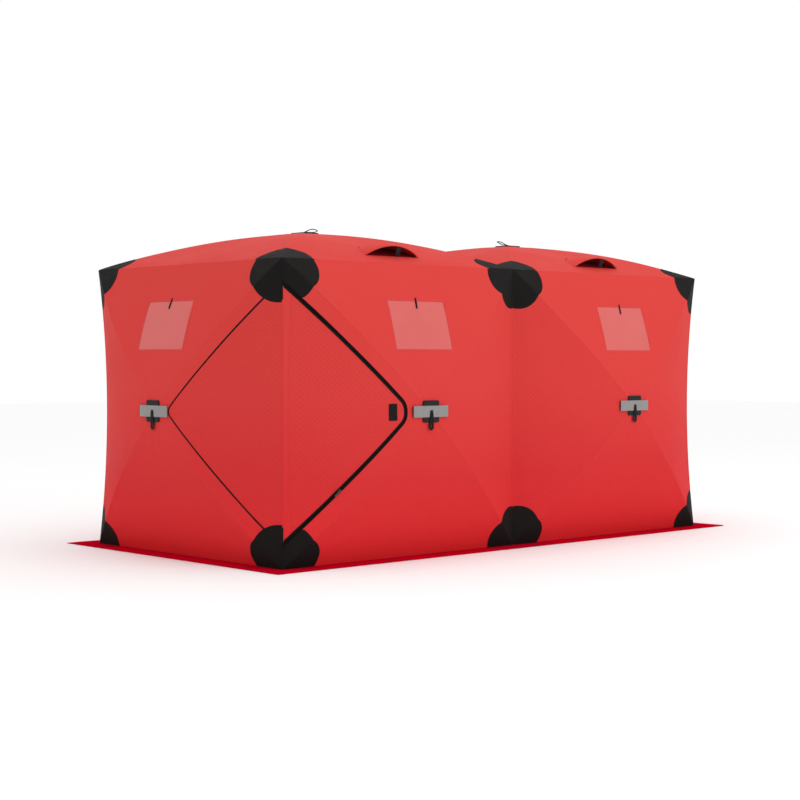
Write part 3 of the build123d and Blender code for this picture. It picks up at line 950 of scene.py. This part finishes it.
def rectangle_rows(half_h, radius, middle=12, ends=7):
    """Heights of rows that are closer together in the rounded ends."""
    bend = radius * np.sin(np.linspace(0, math.pi / 2, ends + 1))
    low = -(half_h - radius) - bend[::-1]
    straight = np.linspace(-(half_h - radius), half_h - radius, middle + 1)[1:-1]
    return np.concatenate([low, straight, -low[::-1]])


def rounded_sheet(name, panel, middle_v, width, height, radius, lift, middle_u=0.0, columns=24):
    heights = rectangle_rows(height / 2, radius)

    def shape(s, t):
        y = heights[np.rint(t * (len(heights) - 1)).astype(int)]
        x = (2 * s - 1) * rounded_half(y, width / 2, height / 2, radius)
        u, v = middle_u + x, middle_v + y
        return panel.place(u, v, lift), (u, v)

    obj = grid(name, columns, len(heights) - 1, shape)
    face_out(obj, panel.out)
    return obj


def rounded_loop(width, height, radius, per_corner=8, per_edge=14):
    """Points and outward directions round a rounded rectangle, closed."""
    points, normals = [], []
    for corner, (x, y) in enumerate(((1, 1), (-1, 1), (-1, -1), (1, -1))):
        centre = np.array([x * (width / 2 - radius), y * (height / 2 - radius)])
        for k in range(per_corner + 1):
            angle = math.pi / 2 * (corner + k / per_corner)
            normal = np.array([math.cos(angle), math.sin(angle)])
            points.append(centre + radius * normal)
            normals.append(normal)
    points, normals = np.array(points), np.array(normals)
    dense_p, dense_n = [], []
    for k in range(len(points)):
        nxt = (k + 1) % len(points)
        steps = per_edge if np.hypot(*(points[nxt] - points[k])) > 0.05 else 1
        for part in range(steps):
            share = part / steps
            dense_p.append(points[k] * (1 - share) + points[nxt] * share)
            dense_n.append(normals[k] * (1 - share) + normals[nxt] * share)
    return np.array(dense_p + dense_p[:1]), np.array(dense_n + dense_n[:1])


def border(name, panel, middle, width, height, radius, profile):
    """A closed band round a rounded rectangle, laid on the cloth."""
    points, normals = rounded_loop(width, height, radius)
    offsets, lifts = np.array(profile).T
    length = np.concatenate([[0], np.cumsum(np.hypot(*np.diff(points, axis=0).T))])

    def shape(s, t):
        i, j = np.rint(t * (len(points) - 1)).astype(int), np.rint(s * (len(offsets) - 1)).astype(int)
        spot = np.array(middle) + points[i] + normals[i] * offsets[j][:, None]
        return panel.place(spot[:, 0], spot[:, 1], lifts[j]), (length[i], offsets[j])

    obj = grid(name, len(offsets) - 1, len(points) - 1, shape)
    face_out(obj, panel.out)
    merge(obj, 0.0001)
    return obj


WINDOW_BORDER = ((-0.0075, -0.0006), (-0.007, 0.0004), (-0.002, 0.0006), (0.003, 0.0006),
                 (0.005, 0.0003), (0.0055, -0.0006))
windows, borders, ties = {}, {}, {}
for panel in walls:
    pane = rounded_sheet(f"{panel.name}_window", panel, WINDOW_V, WINDOW_WIDTH, WINDOW_HEIGHT,
                         WINDOW_CORNER, -0.0012)
    make_up(pane, clear_vinyl, 0.0006)
    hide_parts("windows")
    frame_piece = border(f"{panel.name}_window_border", panel, (0, WINDOW_V), WINDOW_WIDTH,
                         WINDOW_HEIGHT, WINDOW_CORNER, WINDOW_BORDER)
    make_up(frame_piece, seam_red, 0.0006)
    top = WINDOW_V + WINDOW_HEIGHT / 2
    tie = band(f"{panel.name}_window_tie", panel, (0.004, top + 0.012), (-0.003, top - 0.048), 16,
               ((-0.006, 0.0012), (-0.005, 0.0035), (0, 0.0048), (0.005, 0.0035), (0.006, 0.0012)))
    make_up(tie, webbing_black, 0.0015)
    windows[panel.name], borders[panel.name], ties[panel.name] = pane, frame_piece, tie
print("windows:", len(windows))

# %% [markdown]
# The door is one sheet inside the outline. It swings about the line where it folds, so it rides on its
# own body. The zip's tape is sewn to the cloth around the door, with the coil as a raised bead over
# the gap; on the next wall the same outline is only a stitched piping.

# %% Doors and their zips
ZIP_PROFILE = ((-0.0035, 0.0006), (-0.003, 0.0030), (-0.0012, 0.0038), (0.0012, 0.0038), (0.003, 0.0030),
               (0.0036, 0.0022), (0.012, 0.0022), (0.0195, 0.0021), (0.0205, -0.0004))
PIPING_PROFILE = ((-0.0045, -0.0004), (-0.004, 0.0014), (-0.002, 0.0026), (0.0, 0.003), (0.002, 0.0026),
                  (0.004, 0.0014), (0.0045, -0.0004))
TAB_MIDDLE, TAB_WIDTH, TAB_HEIGHT = 0.265, 0.054, 0.095
for door, panel in doors.items():
    start = door_line.centre - door_line.nose + 0.001

    def shape(s, t):
        bend = 1 - np.cos(np.clip(t / 0.25, 0, 1) * math.pi / 2)
        a = start + np.where(t < 0.25, bend * 0.06, 0.06 + (t - 0.25) / 0.75 * (HINGE - start - 0.06))
        a = np.minimum(a, HINGE - 0.0005)
        v = (2 * s - 1) * np.maximum(door_line.height(a, -0.001), 0.0)
        return panel.place(-a, v), (-a, v)

    leaf = grid(f"{door}_leaf", 56, 72, shape)
    merge(leaf, 0.0002)
    face_out(leaf, panel.out)
    make_up(leaf, quilted_red, CLOTH_THICK, 50)
    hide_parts(f"{door}_flap")
    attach(leaf, f"{door}_flap")
    tab = rounded_sheet(f"{door}_tab", panel, 0.0, TAB_WIDTH, TAB_HEIGHT, 0.006, 0.0022, -TAB_MIDDLE, 10)
    paint(tab, webbing_black)
    thicken(tab, 0.0022)
    modify(tab, "BEVEL", width=0.0006, segments=2, limit_method="ANGLE")
    smooth(tab, 50)
    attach(tab, f"{door}_flap")
    tape = ribbon(f"{door}_zip_tape", panel, door_line, -1, door_line.meets_edge(panel) + 0.024,
                  *np.array(ZIP_PROFILE).T)
    make_up(tape, zip_black, 0.0008)
    fold_with(tape, panel)
    frame["nodes"][f"{door}_zip_slider"].data.materials.clear()
    frame["nodes"][f"{door}_zip_slider"].data.materials.append(satin_metal)
    HINGE - start
    2 * float(door_line.height(HINGE))
pipings = {}
for name in ("left", "right"):
    panel = by_name[name]
    piping = ribbon(f"{name}_wall_piping", panel, piped_line, 1, panel.half_u - 0.104,
                    *np.array(PIPING_PROFILE).T)
    make_up(piping, zip_black, 0.0008)
    pipings[name] = piping

# %% [markdown]
# Where two panels meet, their hems are bound together in a narrow piping that runs the whole edge. It
# is a round bead that follows the edge, drawn in at half height on the upright corners. The middle
# seam between the bays also has a flat band beside it, with a line of stitches.

# %% Bound edges
def bead(name, path, radius=0.0034, around=8):
    """A closed round bead along a path of points in the frame."""
    path = np.asarray(path, float)
    tangent = np.gradient(path, axis=0)
    tangent /= np.linalg.norm(tangent, axis=1)[:, None]
    helper = np.array([0.31, 0.52, 0.79])
    first = np.cross(tangent, helper)
    first /= np.linalg.norm(first, axis=1)[:, None]
    second = np.cross(tangent, first)
    length = np.concatenate([[0], np.cumsum(np.linalg.norm(np.diff(path, axis=0), axis=1))])

    def shape(s, t):
        i = np.rint(t * (len(path) - 1)).astype(int)
        angle = 2 * math.pi * s
        ring = first[i] * np.cos(angle)[:, None] + second[i] * np.sin(angle)[:, None]
        return path[i] + radius * ring, (length[i], (s - 0.5) * 0.02)

    obj = grid(name, around, len(path) - 1, shape)
    merge(obj, 0.0001)
    in_edit(obj, lambda: (bpy.ops.mesh.fill_holes(sides=0), bpy.ops.mesh.normals_make_consistent()))
    return obj


def upright(x, y, tucked):
    share = np.linspace(-1, 1, 61)
    v = wall_half * share
    drawn = TUCK * (1 - share**2) if tucked else 0 * share
    off = 0.0015
    return np.stack([x - np.sign(x) * (drawn - off), y - np.sign(y) * (drawn - off), wall_z + v], 1)


beads = []
for x in (-BAY, BAY):
    for y in (-half_depth, half_depth):
        beads.append(bead("bead", upright(x, y, True)))
    rail = np.linspace(-half_depth, half_depth, 40)
    beads.append(bead("bead", np.stack([np.full(40, x), rail, np.full(40, EAVES)], 1)))
for y in (-half_depth, half_depth):
    beads.append(bead("bead", upright(0.0, y, False)))
    rail = np.linspace(-BAY, BAY, 80)
    beads.append(bead("bead", np.stack([rail, np.full(80, y), np.full(80, EAVES)], 1)))
rail = np.linspace(-half_depth, half_depth, 40)
beads.append(bead("bead", np.stack([0 * rail, rail, np.full(40, EAVES)], 1)))
edges = join(beads, "bound_edges")
paint(edges, seam_red)
edges.data.materials.append(patch_black)
posts = np.array([(x, y, z) for x in (-BAY, 0, BAY) for y in (-half_depth, half_depth)
                  for z in (FOOT, EAVES)])
centres = centres_of(edges)
near_post = np.linalg.norm(centres[:, None] - posts[None], axis=2).min(axis=1) < 0.90 * PATCH
edges.data.polygons.foreach_set("material_index", near_post.astype(np.int32))
smooth(edges, 50)
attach(edges, "shelter")

middle_bands = {}
for name, sign in (("front_1", 1), ("back_2", -1)):
    panel = by_name[name]
    strip = band(f"{name}_middle_band", panel, (sign * (panel.half_u - 0.020), -0.58),
                 (sign * (panel.half_u - 0.020), 0.58), 60,
                 ((-0.016, -0.0004), (-0.0152, 0.0014), (0.0, 0.0016), (0.0152, 0.0014), (0.016, -0.0004)))
    make_up(strip, seam_red, 0.0008)
    middle_bands[name] = strip
print("bound edges:", len(beads))

# %% [markdown]
# The skirt is a flat strip of deeper red cloth all round, on which snow is shovelled to hold the
# shelter down. It is one ring with mitred corners, tucked in under the walls, and lies with slight
# ripples and a turned hem.

# %% Skirt
SKIRT = 0.150  # reach outside the walls
SKIRT_TUCK = 0.02  # reach inside them


def skirt_shape(s, t):
    """s runs once round the ring, t from the inner edge to the hem."""
    reach = t * (SKIRT + SKIRT_TUCK) - SKIRT_TUCK
    half_x, half_y = BAY + reach, half_depth + reach
    turn = s * 4
    side = np.minimum(np.floor(turn), 3).astype(int)
    part = 2 * (turn - side) - 1
    x = np.choose(side, [part * half_x, half_x, -part * half_x, -half_x])
    y = np.choose(side, [-half_y, part * half_y, half_y, -part * half_y])
    along = np.where(side % 2 == 0, x, y)
    ripple = np.sin(9.3 * along + side) * np.sin(4.1 * along + 2 * side) + 0.5 * np.sin(23 * along)
    outside = np.clip(reach / SKIRT, 0, 1)
    hem = np.where((t > 0.93) & (t < 0.995), 0.0008, 0.0)
    z = 0.0019 + 0.0014 * outside * (1 + ripple) + hem
    return np.stack([x, y, z], 1), (along, reach)


skirt = grid("skirt_cloth", 480, 22, skirt_shape)
merge(skirt, 0.0002)
face_out(skirt, (0, 0, 1))
skirt_area = area_of(skirt)
make_up(skirt, skirt_red, 0.0014, 50)
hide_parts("skirt")
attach(skirt, "shelter")
# Ripples and hem add to the mesh's area; the line below works out that area capped to what a flat strip of
# this size could have, and the result is not used.
ring_length = 2 * (2 * BAY + DEPTH) + 4 * SKIRT
round(min(skirt_area, 0.99 * (SKIRT + SKIRT_TUCK) * ring_length), 3)
print(f"skirt: {skirt_area:.2f} m2")

# %% [markdown]
# A hub is a moulded disc inside the cloth with a slot for each pole, and outside it a square pad, a
# rivet and a pull. The disc, stem and pins are taken from the CAD node and kept as they are. The pad,
# rivet and pull are modelled here: the pad is a plate with rounded corners, a rolled rim and a sewn
# channel, and the pull a flat loop of webbing that widens downwards so that a glove can grip it.

# %% Hubs
PAD, PAD_THICK, PAD_GAP, PAD_CORNER = 0.125, 0.0055, 0.0005, 0.010
WALL_PULL, ROOF_PULL = 0.099, 0.085  # lengths of the loops


def to_panel(obj, panel):
    """Carries a piece that was modelled in u, v, w to its panel."""
    points = points_of(obj)
    set_points(obj, panel.flat(points[:, 0], points[:, 1], points[:, 2]))
    return obj


def core_of(panel):
    """A copy of the CAD hub without what lies outside the cloth."""
    source = frame["nodes"][panel.hub]
    obj = source.copy()
    obj.data = source.data.copy()
    obj.parent = None
    for key in list(obj.keys()):
        del obj[key]
    bpy.context.scene.collection.objects.link(obj)
    merge(obj, 0.00001)
    points = points_of(obj)
    height = (points - panel.middle) @ panel.out
    outside = height > RISE + 0.0003
    choose(obj, "VERT", outside)
    bpy.ops.mesh.delete(type="VERT")
    bpy.ops.object.mode_set(mode="OBJECT")
    return obj


def pad_plate():
    """Square plate with rounded corners, a rolled rim and a sewn channel."""
    bpy.ops.object.select_all(action="DESELECT")
    bpy.ops.mesh.primitive_cube_add(size=1, location=(0, 0, RISE + PAD_GAP + PAD_THICK / 2))
    obj = bpy.context.object
    obj.scale = (PAD, PAD, PAD_THICK)
    bpy.ops.object.transform_apply(location=True, rotation=True, scale=True)
    height = points_of(obj)[:, 2]
    upright_edges = [abs(height[edge.vertices[0]] - height[edge.vertices[1]]) > 0.001
                     for edge in obj.data.edges]
    choose(obj, "EDGE", upright_edges)
    bpy.ops.mesh.bevel(offset=PAD_CORNER, segments=5, affect="EDGES")
    bpy.ops.object.mode_set(mode="OBJECT")
    choose(obj, "FACE", [face.normal.z > 0.9 for face in obj.data.polygons])
    bpy.ops.mesh.inset(thickness=0.0016, depth=0.0008)
    bpy.ops.mesh.inset(thickness=0.0050, depth=0)
    bpy.ops.mesh.inset(thickness=0.0008, depth=-0.0007)
    bpy.ops.mesh.inset(thickness=0.0010, depth=0)
    bpy.ops.mesh.inset(thickness=0.0008, depth=0.0007)
    bpy.ops.object.mode_set(mode="OBJECT")
    points = points_of(obj)
    lay_uv(obj, points[:, :2])
    smooth(obj, 35)
    return obj


def tube_loop(path, radius_u, radius_w, around=10):
    """A closed loop of flat round section along a path of u, v, w points."""
    path = np.asarray(path, float)
    tangent = np.roll(path, -1, axis=0) - np.roll(path, 1, axis=0)
    tangent /= np.linalg.norm(tangent, axis=1)[:, None]
    normal = np.tile([0.0, 0.0, 1.0], (len(path), 1))
    side = np.cross(normal, tangent)
    side /= np.linalg.norm(side, axis=1)[:, None]
    normal = np.cross(tangent, side)
    count = len(path)

    def shape(s, t):
        i = np.rint(t * count).astype(int) % count
        angle = 2 * math.pi * s
        across, up = radius_u * np.cos(angle), radius_w * np.sin(angle)
        ring = side[i] * across[:, None] + normal[i] * up[:, None]
        return path[i] + ring, (t * 0.3, s * 0.02)

    obj = grid("loop", around, count, shape)
    merge(obj, 0.00005)
    in_edit(obj, lambda: bpy.ops.mesh.normals_make_consistent())
    return obj


def drop_path(top_half, end_half, length, count=64):
    """A drop-shaped loop that hangs from the middle and widens to a round end."""
    low = -length + end_half
    right = [(top_half, 0.0), (end_half, low)]
    arc = [(end_half * math.cos(a), low + end_half * math.sin(a)) for a in np.linspace(0, -math.pi, 17)]
    corners = right[:1] + arc + [(-top_half, 0.0)]
    corners = np.array(corners + corners[:1])
    length_at = np.concatenate([[0], np.cumsum(np.hypot(*np.diff(corners, axis=0).T))])
    at = np.linspace(0, length_at[-1], count, endpoint=False)
    return np.stack([np.interp(at, length_at, corners[:, k]) for k in (0, 1)], 1)


LOOP_W = RISE + PAD_GAP + PAD_THICK + 0.0045
wall_drop = drop_path(0.0030, 0.0108, WALL_PULL)
roof_drop = drop_path(0.0050, 0.0120, ROOF_PULL)
for panel in panels:
    core = core_of(panel)
    plate = pad_plate()
    bpy.ops.object.select_all(action="DESELECT")
    bpy.ops.mesh.primitive_uv_sphere_add(segments=20, ring_count=10, radius=0.0085,
                                         location=(0, 0, LOOP_W + 0.0006))
    rivet = bpy.context.object
    rivet.scale = (1, 1, 0.45)
    bpy.ops.object.transform_apply(location=True, rotation=True, scale=True)
    lay_uv(rivet, points_of(rivet)[:, :2])
    smooth(rivet, 60)
    if panel in walls:
        sag = 0.004 * (wall_drop[:, 1] / 0.102) ** 2
        path = np.column_stack([wall_drop, LOOP_W - sag])
        loop = tube_loop(path, 0.0085, 0.0016)
    else:
        turn = 1 if panel.name == "roof_1" else -1
        out = -roof_drop[:, 1] / ROOF_PULL
        lean_up = 0.018 * np.abs(out) ** 0.7 + roof_drop[:, 0] * np.sin(0.9 * math.pi * out)
        path = np.column_stack([turn * 0.098 * out, roof_drop[:, 0], LOOP_W + lean_up])
        loop = tube_loop(path, 0.0028, 0.0028)
    smooth(loop, 60)
    for piece in (plate, rivet, loop):
        to_panel(piece, panel)
    paint(core, moulded_black)
    paint(plate, moulded_black)
    paint(rivet, moulded_black)
    hub = join([core, plate, rivet], f"{panel.name}_hub_moulding")
    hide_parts(panel.hub)
    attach(hub, panel.hub)
    loop.name = loop.data.name = f"{panel.name}_pull_loop"
    paint(loop, webbing_black)
    fold_with(loop, panel)
print("hubs:", len(panels))

# %% [markdown]
# Over each wall hub's pad lies a strip of grey reflective tape with one black end, so that the shelter
# shows in a car's or snowmobile's lights. It bends a little where it leaves the pad.

# %% Reflective strips
STRIP, STRIP_HEIGHT = 0.275, 0.065
strip_w = RISE + PAD_GAP + PAD_THICK + 0.0024
for panel in walls:
    heights = rectangle_rows(STRIP_HEIGHT / 2, 0.003, 8, 3)

    def shape(s, t):
        y = heights[np.rint(t * (len(heights) - 1)).astype(int)]
        x = (2 * s - 1) * rounded_half(y, STRIP / 2, STRIP_HEIGHT / 2, 0.003)
        past = np.clip((np.abs(x) - 0.055) / 0.082, 0, 1)
        w = strip_w - 0.0065 * past**1.6 + 0.0004 * np.sin(40 * x + 30 * y)
        return panel.flat(x, y, w), (x, y)

    strip = grid(f"{panel.name}_reflective_strip", 64, len(heights) - 1, shape)
    face_out(strip, panel.out)
    paint(strip, reflective_grey)
    strip.data.materials.append(webbing_black)
    u, _ = panel.local(centres_of(strip))
    strip.data.polygons.foreach_set("material_index", (u < -STRIP / 2 + 0.005).astype(np.int32))
    thicken(strip, 0.0011)
    smooth(strip, 40)
    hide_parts("hub_strips")
    fold_with(strip, panel)
print("reflective strips:", len(walls))

# %% [markdown]
# Each roof bay has a vent near its front edge: a hood of the same cloth, arched over a slot in the
# roof and tapering to nothing up the slope, with a bound mouth, netting over the slot and a stiff
# strut that props it open. The hood is laid from the same curves as its CAD solid.

# %% Roof vents
VENT_WIDTH, VENT_HEIGHT, VENT_DEPTH, VENT_SETBACK = 0.415, 0.062, 0.200, 0.105


def vent_frame(panel):
    """Origin and axes of a vent: along the roof, up its slope, and out of it."""
    share = 1 - VENT_SETBACK / panel.half_v
    step = 0.01

    def bare(share):
        height = RISE * (1 - share) + 4 * BOW * share * (1 - share)
        return panel.flat(0.0, -panel.half_v * share, height)

    middle = share - VENT_DEPTH / panel.half_v / 2
    run = bare(middle - step) - bare(middle)
    run /= np.linalg.norm(run)
    out = np.cross([1.0, 0.0, 0.0], run)
    lift = 0.003 + 0.0003 + BOW * (VENT_DEPTH / panel.half_v) ** 2
    return bare(share) + out * lift, np.array([1.0, 0, 0]), run, out


for number, panel in enumerate(roofs, 1):
    origin, x_axis, y_axis, z_axis = vent_frame(panel)

    def hood_shape(s, t):
        back = 0.97 * t
        across = 2 * s - 1
        width = VENT_WIDTH / 2 * np.sqrt(1 - back**2)
        sunk = 0.005 * np.maximum(across**8, t**8)
        height = VENT_HEIGHT * (1 - back**1.6) * (1 - across**2) + 0.0028 - sunk
        height = height + 0.0012 * np.sin(9 * across + 2) * t * (1 - across**2)
        x, y = width * across, VENT_DEPTH * back + 0.004
        spot = (origin + np.multiply.outer(x, x_axis) + np.multiply.outer(y, y_axis)
                + np.multiply.outer(height, z_axis))
        return spot, (x, y)

    hood = grid(f"vent_hood_{number}_cloth", 56, 30, hood_shape)
    face_out(hood, z_axis)
    make_up(hood, plain_red, 0.0016, 50)
    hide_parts(f"vent_hood_{number}")
    rim_at = np.linspace(-1, 1, 49)
    rim_path = (origin + np.multiply.outer(VENT_WIDTH / 2 * rim_at, x_axis)
                + np.multiply.outer(VENT_HEIGHT * (1 - rim_at**2) + 0.002, z_axis) - 0.002 * y_axis)
    rim = bead(f"vent_hood_{number}_rim", rim_path, 0.0026, 8)
    paint(rim, seam_red)
    smooth(rim, 60)
    for piece in (hood, rim):
        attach(piece, f"vent_hood_{number}")

    def net_shape(s, t):
        back = 0.92 * t + 0.03
        x = VENT_WIDTH / 2 * 0.96 * np.sqrt(1 - back**2) * (2 * s - 1)
        v = -panel.half_v + VENT_SETBACK + VENT_DEPTH * back
        return panel.place(x, v, 0.0008), (x, v)

    net = grid(f"vent_{number}_netting", 30, 16, net_shape)
    face_out(net, panel.out)
    make_up(net, painted_light_net, 0.0005, 50)
    fold_with(net, panel)
    prop = frame["nodes"][f"vent_prop_{number}"]
    prop.data.materials.clear()
    prop.data.materials.append(moulded_black)

# %% [markdown]
# The cloth and everything sewn to it have their placement baked into their meshes; nothing here blends
# them between the shelter, which holds the corners, and the hub in the middle. The poles, their pockets
# and the rest of the CAD nodes are the right shape as they are and only get their finish.

# %% Bake the sewn pieces and finish the poles
for panel in panels:
    sewn = [seams[panel.name], patches[panel.name]]
    if panel in walls:
        sewn += [windows[panel.name], borders[panel.name], ties[panel.name]]
    if panel.name in middle_bands:
        sewn.append(middle_bands[panel.name])
    if panel.name in pipings:
        sewn.append(pipings[panel.name])
    cloth = cloths[panel.name]
    for piece in [cloth] + sewn:
        fold_with(piece, panel)
    width, height = 2 * panel.half_u + 0.06, 2 * panel.half_v + 0.06

for name, node in frame["nodes"].items():
    if "_pole_" in name or name == "corner_pockets":
        node.data.materials.clear()
        node.data.materials.append(rod_black if "_pole_" in name else moulded_black)
print("sewn pieces blended on", len(panels), "panels")

# %% [markdown]
# Last come the floor and the light: a plain pale floor, a bright even sky, one large soft light
# overhead and a weaker one from the front, so that the upper gores are lighter than the lower ones.

# %% Floor and light
bpy.ops.object.select_all(action="DESELECT")
bpy.ops.mesh.primitive_plane_add(size=60, location=(0, 0, -0.0005))
floor = bpy.context.object
floor.name = "floor"
pale = Recipe("pale_floor", Roughness=0.9, Specular_IOR_Level=0.1)
pale_tone = pale.mix(pale.noise(pale.place(), 0.6, 2.0), (0.95, 0.95, 0.95, 1), (0.98, 0.98, 0.98, 1))
paint(floor, pale.finish(Base_Color=pale_tone))

world = bpy.data.worlds.new("sky")
world.use_nodes = True
world.node_tree.nodes["Background"].inputs["Color"].default_value = (1, 1, 1, 1)
world.node_tree.nodes["Background"].inputs["Strength"].default_value = 1.0
bpy.context.scene.world = world


def area_light(name, size, energy, place, target):
    data = bpy.data.lights.new(name, "AREA")
    data.shape, data.size, data.energy = "SQUARE", size, energy
    light = bpy.data.objects.new(name, data)
    light.location = place
    light.rotation_euler = (Vector(target) - Vector(place)).to_track_quat("-Z", "Y").to_euler()
    bpy.context.scene.collection.objects.link(light)


area_light("overhead", 6.0, 60, (0.5, -1.0, 6.5), (0, 0, 0.5))
area_light("front", 5.0, 120, (3.0, -9.0, 4.0), (0, 0, 0.8))
bpy.context.scene.view_settings.view_transform = "Standard"
